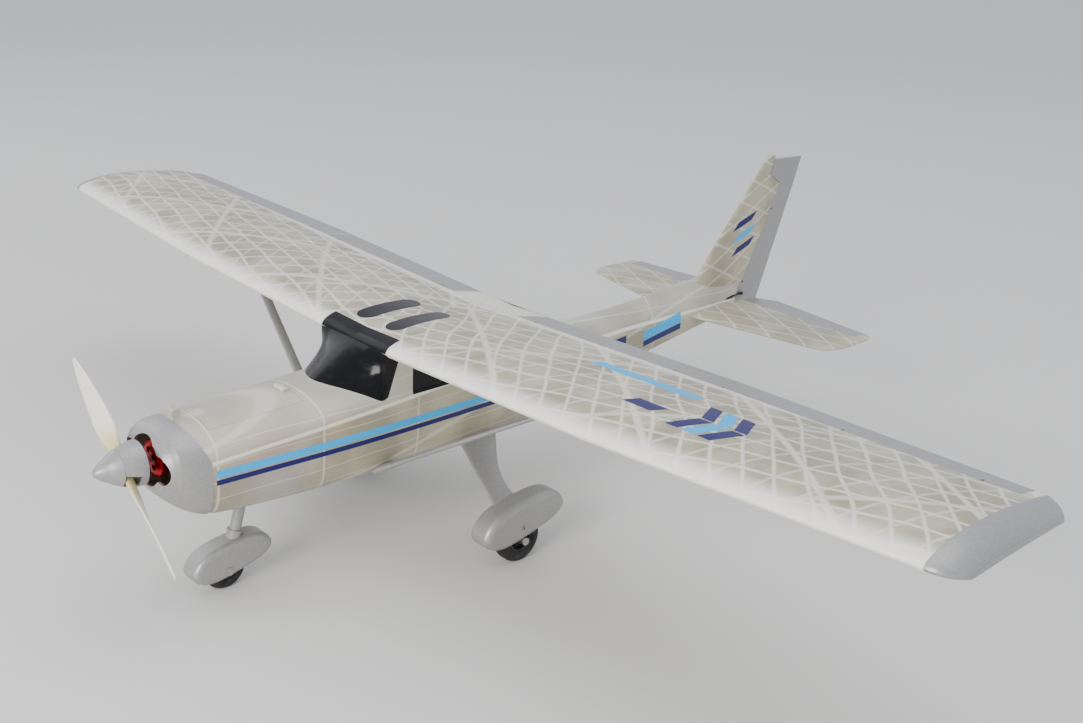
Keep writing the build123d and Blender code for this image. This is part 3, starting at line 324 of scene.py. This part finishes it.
class AEROPLANE_OT_skin(bpy.types.Operator):
    """Gives the natural PLA shells their ribbed, slightly clear finish"""
    bl_idname = "aeroplane.skin"
    bl_label = "Natural Shells"

    def execute(self, context):
        give(wing_skin(), "wing_center", *both("wing"))
        hull = body_skin("natural PLA fuselage skin, printed on end",
                         [(1.5, 17 * MM, 0.985, 0.35, 1.0), (10, 96 * MM, 0.99, 0.35, 1.5)],
                         frames=(92, 200, 310, 478), crease=((86, 157), (302, 171)),
                         tints=[((145, 155), 46, "#C79B86", 0.45), ((215, 168), 26, "#C59A7C", 0.4),
                                ((150, 124), 50, "#8E8F99", 0.5)])
        give(hull, "nose_section", "cabin_section", "battery_hatch")
        tail = body_skin("natural PLA boom skin, printed on end",
                         [(-2, 19 * MM, 0.985, 0.35, 1.0), (10, 80 * MM, 0.99, 0.35, 1.5)],
                         frames=(486, 560, 688), crease=((490, 169), (862, 157)))
        give(tail, "boom_section", "tail_section")
        fin = body_skin("natural PLA fin skin, printed on end",
                        [(28, 21 * MM, 0.95, 0.4, 1.8), (-24, 30 * MM, 0.96, 0.35, 1.8)])
        give(fin, "fin")
        plane = body_skin("natural PLA stabiliser skin",
                          [(70, 24 * MM, 0.95, 0.4, 1.8), (-60, 30 * MM, 0.96, 0.4, 1.8)], top=True)
        give(plane, "stabiliser")
        return {"FINISHED"}


def silver_skin(name, axis, pitch=1.2, black=None, steel=None):
    """Silver-grey PLA with mica in it: satin, its layers drawn wider than the real 0.2 mm to show, with painted
    shade in the grooves between them.

    Parts inside the box black are the moulded horn, those inside steel are wire.
    """
    look = bpy.context.scene.aeroplane_skin
    made, tree, bsdf, place = start(name, Roughness=0.4, Metallic=0.45, IOR=1.46)
    layers = bands(tree, place, pitch * MM, axis, 0.5)
    grain = cloud(tree, place, 2.5 * MM, stretch=(1, 1, 1))
    # Partly painted shade: a quarter of the mix darkens the grooves between layers, the rest is random grain.
    share = maths(tree, "ADD", maths(tree, "MULTIPLY", layers, 0.25), maths(tree, "MULTIPLY", grain, 0.75))
    shade = blend(tree, share, look.dark_silver_grain_and_groove_shade, look.silver)
    for box, code, metal in ((black, "#0C0C0E", 0.0), (steel, "#A9ABAF", 1.0)):
        if box:
            inside = within(tree, place, *box)
            shade = blend(tree, inside, shade, linear(code))
            tree.links.new(maths(tree, "MULTIPLY_ADD", inside, metal - 0.45, 0.45), bsdf.inputs["Metallic"])
    tree.links.new(shade, bsdf.inputs["Base Color"])
    relief(tree, bsdf, layers, 0.02 * MM)
    return made


class AEROPLANE_OT_silver(bpy.types.Operator):
    """Gives the silver-grey PLA parts their layered satin finish"""
    bl_idname = "aeroplane.silver"
    bl_label = "Silver Parts"

    def execute(self, context):
        along = silver_skin("silver PLA, layers along the fuselage", "Y")
        give(along, "cowl", "spinner", "spinner_backplate", "nose_pant", "gear_plate", *both("pant"))
        across = silver_skin("silver PLA, layers along the span", "X")
        give(across, *both("wing_tip", "flap"))
        horned = silver_skin("silver PLA with a black nylon horn", "X",
                             black=((445.9, 420, 200), (448.1, 460, 229.5)))
        give(horned, *both("aileron"))
        wired = silver_skin("silver PLA with a steel wire joiner", "X",
                            steel=((-1, 860, 130), (22.4, 880, 149)))
        give(wired, "elevator")
        upright = silver_skin("silver PLA, layers up", "Z")
        give(upright, "nose_leg", "nose_sleeve", *both("strut", "gear_leg"))
        rudder = silver_skin("silver PLA rudder with a black nylon horn", "Z",
                             black=((4.3, 850, 160.5), (12, 880, 163.5)))
        give(rudder, "rudder")
        return {"FINISHED"}


class AEROPLANE_OT_glazing(bpy.types.Operator):
    """Gives the windscreen, windows and roof lights their black film"""
    bl_idname = "aeroplane.glazing"
    bl_label = "Glazing"

    def execute(self, context):
        # Black self-adhesive vinyl over the printed panes: glossy, with wrinkles and faint grey scuffs.
        made, tree, bsdf, place = start("black gloss vinyl film", IOR=1.4, Specular_IOR_Level=0.35)
        scuff = cloud(tree, place, 14 * MM, 5.0, (1.0, 0.35, 2.2))
        mark = fade(tree, scuff, 0.6, 0.78)
        shade = blend(tree, maths(tree, "MULTIPLY", mark, 0.25), linear("#030305"), linear("#2A2C30"))
        tree.links.new(shade, bsdf.inputs["Base Color"])
        tree.links.new(fade(tree, scuff, 0.4, 0.75, 0.14, 0.34), bsdf.inputs["Roughness"])
        relief(tree, bsdf, cloud(tree, place, 30 * MM, 2.0), 0.4 * MM)
        give(made, "windscreen", "window_panes")
        return {"FINISHED"}


class AEROPLANE_OT_power(bpy.types.Operator):
    """Finishes the propeller, shaft and motor"""
    bl_idname = "aeroplane.power"
    bl_label = "Power Unit"

    def execute(self, context):
        # Injection-moulded nylon: ivory, satin, yellower at the thick root.
        made, tree, bsdf, place = start("ivory moulded nylon", Roughness=0.32, IOR=1.53,
                                        Subsurface_Weight=0.1, Subsurface_Scale=0.003)
        hub = add(tree, "VectorMath", {"operation": "DISTANCE"}, {0: place, 1: at(0, 28, 154)})
        shade = blend(tree, fade(tree, hub.outputs["Value"], 0.018, 0.05), linear("#DFCF93"), linear("#EFEADB"))
        tree.links.new(shade, bsdf.inputs["Base Color"])
        relief(tree, bsdf, cloud(tree, place, 3 * MM), 0.02 * MM)
        give(made, "propeller")
        # Red anodised aluminium, turned: a metal with fine rings.
        made, tree, bsdf, place = start("red anodised aluminium", Metallic=0.9, Roughness=0.3,
                                        Base_Color=linear("#B01218"))
        relief(tree, bsdf, bands(tree, place, 0.5 * MM, "Y"), 0.01 * MM)
        give(made, "motor_bell")
        # Laminated steel with enamelled wire: dark, semi-matt.
        made, tree, bsdf, place = start("lacquered stator laminations", Metallic=0.7, Roughness=0.45)
        shade = blend(tree, bands(tree, place, 0.5 * MM, "Y"), linear("#20201C"), linear("#4A4634"))
        tree.links.new(shade, bsdf.inputs["Base Color"])
        give(made, "motor_base")
        made, tree, bsdf, place = start("bright steel", Metallic=1.0, Roughness=0.28)
        shade = blend(tree, cloud(tree, place, 2 * MM), linear("#8E9094"), linear("#C9CBCE"))
        tree.links.new(shade, bsdf.inputs["Base Color"])
        give(made, "prop_shaft", "hinge_pins", "screws", *both("aileron_pushrod"))
        made, tree, bsdf, place = start("birch plywood", Roughness=0.6, IOR=1.5)
        grain = cloud(tree, place, 6 * MM, 4.0, (0.3, 1, 3))
        shade = blend(tree, grain, linear("#B8935F"), linear("#DBBE8C"))
        tree.links.new(shade, bsdf.inputs["Base Color"])
        give(made, "motor_mount")
        return {"FINISHED"}


class AEROPLANE_OT_radio(bpy.types.Operator):
    """Finishes the battery, radio gear, servo arms and spar tubes"""
    bl_idname = "aeroplane.radio"
    bl_label = "Radio Gear"

    def execute(self, context):
        made, tree, bsdf, place = start("black moulded ABS", Roughness=0.5, IOR=1.54)
        shade = blend(tree, cloud(tree, place, 1.5 * MM), linear("#131316"), linear("#232327"))
        tree.links.new(shade, bsdf.inputs["Base Color"])
        relief(tree, bsdf, cloud(tree, place, 0.8 * MM), 0.02 * MM)
        give(made, "speed_controller", "receiver", "wing_servos", "tail_servos", "nose_rim",
             *both("main_rim"))
        made, tree, bsdf, place = start("heat-shrink wrap", Roughness=0.25, IOR=1.5)
        shade = blend(tree, cloud(tree, place, 20 * MM), linear("#1A2E6E"), linear("#24408C"))
        tree.links.new(shade, bsdf.inputs["Base Color"])
        relief(tree, bsdf, cloud(tree, place, 9 * MM), 0.3 * MM)
        give(made, "battery")
        made, tree, bsdf, place = start("pultruded carbon tube", Roughness=0.35, IOR=1.55)
        fibre = cloud(tree, place, 1.2 * MM, 3.0, (0.05, 1, 1))
        shade = blend(tree, fibre, linear("#0B0B0C"), linear("#26262A"))
        tree.links.new(shade, bsdf.inputs["Base Color"])
        give(made, "wing_spars", "rudder_pushrod", "elevator_pushrod")
        made, tree, bsdf, place = start("white moulded nylon", Roughness=0.4, IOR=1.53)
        shade = blend(tree, cloud(tree, place, 4 * MM), linear("#D6D5CF"), linear("#ECEBE6"))
        tree.links.new(shade, bsdf.inputs["Base Color"])
        give(made, "rudder_arm", "elevator_arm", *both("aileron_arm"))
        return {"FINISHED"}


# ---- wheels ----

def tyre(name, side_x, y, z, radius, tread, made, body):
    """A moulded rubber tyre: a profile spun round the axle, with tread grooves and a bead step."""
    look = bpy.context.scene.aeroplane_wheels
    rim = radius * 0.55
    half = tread / 2
    profile = [(-half * 0.72, rim), (-half * 0.9, rim + 1.2), (-half * 0.98, rim + 2.6), (-half, rim + 3.4),
               (-half * 0.97, radius * 0.86), (-half * 0.86, radius * 0.94), (-half * 0.62, radius * 0.985)]
    lands = look.grooves * 2 + 1
    for i in range(lands):
        low = -half * 0.5 + half * i / lands
        high = low + half / lands
        deep = look.groove_depth / MM if i % 2 else 0
        profile += [(low, radius - deep), (high, radius - deep)]
    profile += [(-u, r) for u, r in reversed(profile[:7])]
    bm = bmesh.new()
    verts = [bm.verts.new(at(side_x + u, y, z + r)) for u, r in profile]
    edges = [bm.edges.new((a, b)) for a, b in zip(verts, verts[1:] + verts[:1])]
    bmesh.ops.spin(bm, geom=verts + edges, axis=(1, 0, 0), cent=at(side_x, y, z), angle=math.tau,
                   steps=look.steps, use_merge=True)
    bmesh.ops.remove_doubles(bm, verts=bm.verts, dist=1e-6)
    bmesh.ops.recalc_face_normals(bm, faces=bm.faces)
    piece = finish_piece(name, bm, made, body)
    return piece


class AEROPLANE_OT_wheels(bpy.types.Operator):
    """Makes the rubber tyres"""
    bl_idname = "aeroplane.wheels"
    bl_label = "Tyres"

    def execute(self, context):
        made, tree, bsdf, place = start("vulcanised rubber", Roughness=0.75, IOR=1.52)
        dust = cloud(tree, place, 5 * MM, 5.0)
        shade = blend(tree, fade(tree, dust, 0.4, 0.8), linear("#17171A"), linear("#3A3834"))
        tree.links.new(shade, bsdf.inputs["Base Color"])
        relief(tree, bsdf, cloud(tree, place, 0.8 * MM), 0.04 * MM)
        for side, sign in SIDES:
            piece = tyre(f"tyre_main_{side}", 131 * sign, 376, 28, 25, 17, made, f"main_wheel_{side}")
            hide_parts(f"main_tyre_{side}")
        piece = tyre("tyre_nose", 0, 121, 24, 21, 14, made, "nose_wheel")
        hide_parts("nose_tyre")
        return {"FINISHED"}


# ---- fittings ----

def cuboid(bm, centre, size, turn=None):
    """A box about a centre, turned by a matrix."""
    place = Matrix.Translation(centre) @ (turn or Matrix()) @ Matrix.Diagonal((*size, 1))
    bmesh.ops.create_cube(bm, size=1, matrix=place)


class AEROPLANE_OT_fittings(bpy.types.Operator):
    """Makes the cross recesses, motor windings, battery strap and pushrod clevises"""
    bl_idname = "aeroplane.fittings"
    bl_label = "Fittings"

    def execute(self, context):
        # Painted shade: thin dark crosses on the pant screws stand in for the shade inside their recesses.
        dark, tree, bsdf, place = start("painted screw recess shade", Metallic=0.8, Roughness=0.5,
                                        Base_Color=linear("#1C1C1E"))
        relief(tree, bsdf, cloud(tree, place, 0.5 * MM), 0.01 * MM)
        for side, sign in SIDES:
            bm = bmesh.new()
            for size in ((0.12, 2.6, 0.6), (0.12, 0.6, 2.6)):
                cuboid(bm, at(146.42 * sign, 372.5, 44), Vector(size) * MM)
            finish_piece(f"painted_recess_shade_pant_{side}", bm, dark, "airframe", smooth=False)
        # Enamelled copper wire wound round the stator's teeth.
        copper, tree, bsdf, place = start("enamelled copper wire", Metallic=0.9, Roughness=0.35)
        shade = blend(tree, bands(tree, place, 0.6 * MM, "Y"), linear("#5E2A14"), linear("#B5652E"))
        tree.links.new(shade, bsdf.inputs["Base Color"])
        bm = bmesh.new()
        for i in range(12):
            turn = Matrix.Rotation(math.radians(30 * i), 4, "Y")
            centre = turn @ Vector((0, 0, 10.5 * MM)) + at(0, 59.1, 154)
            cuboid(bm, centre, Vector((3.4, 2.2, 5.5)) * MM, turn)
        bmesh.ops.bevel(bm, geom=bm.edges[:], offset=0.9 * MM, segments=3, profile=0.5, material=-1, affect="EDGES")
        finish_piece("motor_windings", bm, copper, "airframe")
        # Woven nylon strap round the battery.
        strap, tree, bsdf, place = start("woven nylon strap", Roughness=0.8, IOR=1.5)
        shade = blend(tree, bands(tree, place, 0.9 * MM, "X"), linear("#0E0E10"), linear("#2B2B2E"))
        tree.links.new(shade, bsdf.inputs["Base Color"])
        relief(tree, bsdf, bands(tree, place, 0.9 * MM, "X"), 0.15 * MM)
        bm = bmesh.new()
        for x, z, wide, high in ((0, 141.7, 38, 1), (18.2, 127, 1, 29), (-18.2, 127, 1, 29)):
            cuboid(bm, at(x, 152, z), Vector((wide, 18, high)) * MM)
        finish_piece("battery_strap", bm, strap, "airframe", smooth=False)
        # Moulded nylon clevises on the ends of the aileron rods.
        nylon, tree, bsdf, place = start("black moulded nylon clevis", Roughness=0.45, IOR=1.53)
        shade = blend(tree, cloud(tree, place, 2 * MM), linear("#101012"), linear("#1E1E21"))
        tree.links.new(shade, bsdf.inputs["Base Color"])
        for side, sign in SIDES:
            spot = node_corners(f"aileron_pushrod_{side}")
            bm = bmesh.new()
            for y in (spot[0].y + 3 * MM, spot[1].y - 3 * MM):
                centre = Vector(((spot[0].x + spot[1].x) / 2, y, (spot[0].z + spot[1].z) / 2))
                cuboid(bm, centre, Vector((2.4, 7, 2.6)) * MM)
            bmesh.ops.bevel(bm, geom=bm.edges[:], offset=0.5 * MM, segments=3, profile=0.5, material=-1,
                            affect="EDGES")
            finish_piece(f"clevis_{side}", bm, nylon, f"aileron_pushrod_{side}")
        return {"FINISHED"}


def node_corners(node):
    """Low and high corners of a node of the frame."""
    corners = [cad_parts[node].matrix_world @ Vector(corner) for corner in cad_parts[node].bound_box]
    return [Vector([pick(corner[i] for corner in corners) for i in range(3)]) for pick in (min, max)]


# ---- markings ----

def film(name, node, cuts, outer, made, body):
    """A sheet of vinyl cut from a node's outer skin by planes, and lifted off it."""
    look = bpy.context.scene.aeroplane_markings
    bm = bmesh.new()
    bm.from_mesh(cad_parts[node].data)
    bmesh.ops.remove_doubles(bm, verts=bm.verts, dist=1e-6)
    for point, normal in cuts:
        bmesh.ops.bisect_plane(bm, geom=bm.verts[:] + bm.edges[:] + bm.faces[:], plane_co=point,
                               plane_no=normal, clear_outer=True, dist=1e-7)
    away = [face for face in bm.faces if not outer(face)]
    bmesh.ops.delete(bm, geom=away, context="FACES")
    if not bm.faces:
        raise ValueError(f"nothing of {node} is left for {name}")
    bm.normal_update()
    for vert in bm.verts:
        vert.co += vert.normal * 0.03 * MM
    bmesh.ops.solidify(bm, geom=bm.faces[:], thickness=-look.film)
    return finish_piece(name, bm, made, body, smooth=False)


def polygon(corners, facing):
    """The cutting planes of a convex outline seen along facing."""
    centre = sum(corners, Vector()) / len(corners)
    planes = []
    for a, b in zip(corners, corners[1:] + corners[:1]):
        normal = (b - a).cross(facing).normalized()
        planes.append((a, normal if normal.dot(a - centre) > 0 else -normal))
    return planes


def vinyl(name, shade):
    """Self-adhesive vinyl: a saturated colour with a soft gloss and a trace of the layers under it."""
    made, tree, bsdf, place = start(name, Roughness=0.38, IOR=1.46)
    tint = cloud(tree, place, 40 * MM)
    tone = blend(tree, maths(tree, "MULTIPLY", tint, 0.3), shade, [v * 0.72 for v in shade])
    tree.links.new(tone, bsdf.inputs["Base Color"])
    relief(tree, bsdf, bands(tree, place, 1.1 * MM, "Y", 0.6), 0.02 * MM)
    return made


class AEROPLANE_OT_markings(bpy.types.Operator):
    """Makes the two-tone vinyl stripes and chevrons"""
    bl_idname = "aeroplane.markings"
    bl_label = "Markings"

    def execute(self, context):
        look = context.scene.aeroplane_markings
        light, dark = vinyl("light blue vinyl", look.light), vinyl("dark blue vinyl", look.dark)
        up, back, out = Vector((0, 0, 1)), Vector((0, 1, 0)), Vector((1, 0, 0))
        for side, sign in SIDES:
            for made, tone, low, high in ((light, "light", 142.2, 149.5), (dark, "dark", 135.5, 140.5)):
                for node in ("nose_section", "cabin_section"):
                    cuts = [(at(0, 0, low), -up), (at(0, 0, high), up), (at(0, look.start, 0), -back),
                            (at(0, look.end, 0), back), (at(20 * sign, 0, 0), -out * sign)]
                    film(f"stripe_{tone}_{node}_{side}", node, cuts,
                         lambda face: face.normal.x * sign > 0.5, made, "airframe")
            for made, tone, name, corners in (
                    (light, "light", "boom_section", ((668, 143.5), (691, 146), (691, 157.5), (668, 155.8))),
                    (light, "light", "tail_section", ((690, 146), (739, 151), (739, 164), (690, 157.5))),
                    (dark, "dark", "boom_section", ((668, 136), (691, 138.3), (691, 145.6), (668, 143.1))),
                    (dark, "dark", "tail_section", ((690, 138.3), (739, 143), (739, 150.6), (690, 145.6))),
                    (dark, "mark", "boom_section", ((588, 148), (634, 149), (634, 158), (588, 157)))):
                shape = polygon([at(0, *corner) for corner in corners], out * sign)
                film(f"band_{tone}_{name}_{side}", name, shape + [(at(2 * sign, 0, 0), -out * sign)],
                     lambda face: face.normal.x * sign > 0.3, made, "airframe")
            for name, made, rise in (("low", dark, 0), ("middle", light, 16), ("high", dark, 32)):
                corners = [(840, 213 + rise), (874, 224 + rise), (884, 235 + rise), (850, 224 + rise)]
                shape = polygon([at(0, *corner) for corner in corners], out * sign)
                film(f"fin_bar_{name}_{side}", "fin", shape + [(at(0.4 * sign, 0, 0), -out * sign)],
                     lambda face: face.normal.x * sign > 0.5, made, "airframe")
        for name, made, shift in (("inner", dark, 0), ("middle", light, 17), ("outer", dark, 34)):
            for half, way in (("front", 1), ("rear", -1)):
                corners = [(371 + shift, 347 - way), (384 + shift, 347 - way),
                           (371 + shift, 347 - way * 29), (358 + shift, 347 - way * 29)]
                film(f"chevron_{name}_{half}", "wing_left", polygon([at(*corner, 0) for corner in corners], up),
                     lambda face: face.normal.z > 0.5, made, "airframe")
        for name, made, corners in (
                ("light", light, ((214, 378), (334, 378), (341, 390), (221, 390))),
                ("dark", dark, ((302, 327), (334, 327), (342, 341), (310, 341)))):
            film(f"wing_bar_{name}", "wing_left", polygon([at(*corner, 0) for corner in corners], up),
                 lambda face: face.normal.z > 0.5, made, "airframe")
        return {"FINISHED"}


# ---- stage ----

def softbox(name, place, size, power, aim=(0, 0, 0.15), tint=(1, 1, 1)):
    """A square area light aimed at a point."""
    light = bpy.data.lights.new(name, "AREA")
    light.size = size
    light.energy = power
    light.color = tint
    lamp = bpy.data.objects.new(name, light)
    bpy.context.scene.collection.objects.link(lamp)
    lamp.location = place
    lamp.rotation_euler = (Vector(aim) - Vector(place)).to_track_quat("-Z", "Y").to_euler()


class AEROPLANE_OT_stage(bpy.types.Operator):
    """Sets the pale floor, the soft lights and the camera"""
    bl_idname = "aeroplane.stage"
    bl_label = "Stage"

    def execute(self, context):
        look = context.scene.aeroplane_stage
        made, tree, bsdf, place = start("matt backdrop paper", Roughness=0.85, IOR=1.45)
        shade = blend(tree, cloud(tree, place, 0.4), look.floor, [v * 0.97 for v in look.floor])
        tree.links.new(shade, bsdf.inputs["Base Color"])
        bm = bmesh.new()
        bmesh.ops.create_grid(bm, x_segments=4, y_segments=4, size=20)
        floor = finish_piece("floor", bm, made, "airframe")
        floor.parent = None
        world = bpy.data.worlds.new("studio")
        context.scene.world = world
        world.use_nodes = True
        world.node_tree.nodes["Background"].inputs[0].default_value = (0.86, 0.9, 1.0, 1.0)
        world.node_tree.nodes["Background"].inputs[1].default_value = 1.0
        softbox("key", (0.7, -2.1, 0.9), 0.9, 42, tint=(1.0, 0.97, 0.93))
        softbox("top", (0.2, 0.4, 3.2), 3.0, 40)
        softbox("fill", (-2.4, -0.8, 1.4), 1.8, 12)
        azimuth, elevation, roll = look.azimuth, look.elevation, look.roll
        away = Vector((math.sin(azimuth) * math.cos(elevation), -math.cos(azimuth) * math.cos(elevation),
                       math.sin(elevation)))
        level = Vector((0, 0, 1)).cross(away).normalized()
        above = away.cross(level)
        right = level * math.cos(roll) + above * math.sin(roll)
        up = above * math.cos(roll) - level * math.sin(roll)
        data = bpy.data.cameras.new("camera")
        data.lens, data.sensor_width = look.lens, 36
        data.clip_start, data.clip_end = 0.01, 100
        camera = bpy.data.objects.new("camera", data)
        context.scene.collection.objects.link(camera)
        camera.matrix_world = Matrix.Translation(look.place) @ Matrix((right, up, away)).transposed().to_4x4()
        context.scene.camera = camera
        return {"FINISHED"}


class AEROPLANE_PT_panel(bpy.types.Panel):
    """Lists the steps that build the looks"""
    bl_idname = "AEROPLANE_PT_panel"
    bl_label = "Aeroplane"
    bl_space_type = "VIEW_3D"
    bl_region_type = "UI"
    bl_category = "Aeroplane"

    def draw(self, context):
        for operator in OPERATORS:
            self.layout.operator(operator.bl_idname)
        for group in GROUPS:
            settings_of = getattr(context.scene, group)
            for name in settings_of.__annotations__:
                self.layout.prop(settings_of, name)


GROUPS = {
    "aeroplane_skin": SkinColours,
    "aeroplane_markings": MarkingSettings,
    "aeroplane_wheels": WheelSettings,
    "aeroplane_stage": StageSettings,
}
OPERATORS = (
    AEROPLANE_OT_stage,
    AEROPLANE_OT_skin,
    AEROPLANE_OT_silver,
    AEROPLANE_OT_glazing,
    AEROPLANE_OT_power,
    AEROPLANE_OT_radio,
    AEROPLANE_OT_wheels,
    AEROPLANE_OT_fittings,
    AEROPLANE_OT_markings,
)


def register():
    for name, group in GROUPS.items():
        bpy.utils.register_class(group)
        setattr(bpy.types.Scene, name, PointerProperty(type=group))
    for made in (*OPERATORS, AEROPLANE_PT_panel):
        bpy.utils.register_class(made)


def unregister():
    for made in (AEROPLANE_PT_panel, *reversed(OPERATORS)):
        bpy.utils.unregister_class(made)
    for name, group in GROUPS.items():
        delattr(bpy.types.Scene, name)
        bpy.utils.unregister_class(group)


def main():
    register()
    bpy.ops.aeroplane.stage()
    bpy.ops.aeroplane.skin()
    bpy.ops.aeroplane.silver()
    bpy.ops.aeroplane.glazing()
    bpy.ops.aeroplane.power()
    bpy.ops.aeroplane.radio()
    bpy.ops.aeroplane.wheels()
    bpy.ops.aeroplane.fittings()
    bpy.ops.aeroplane.markings()


if __name__ == "__main__":
    main()
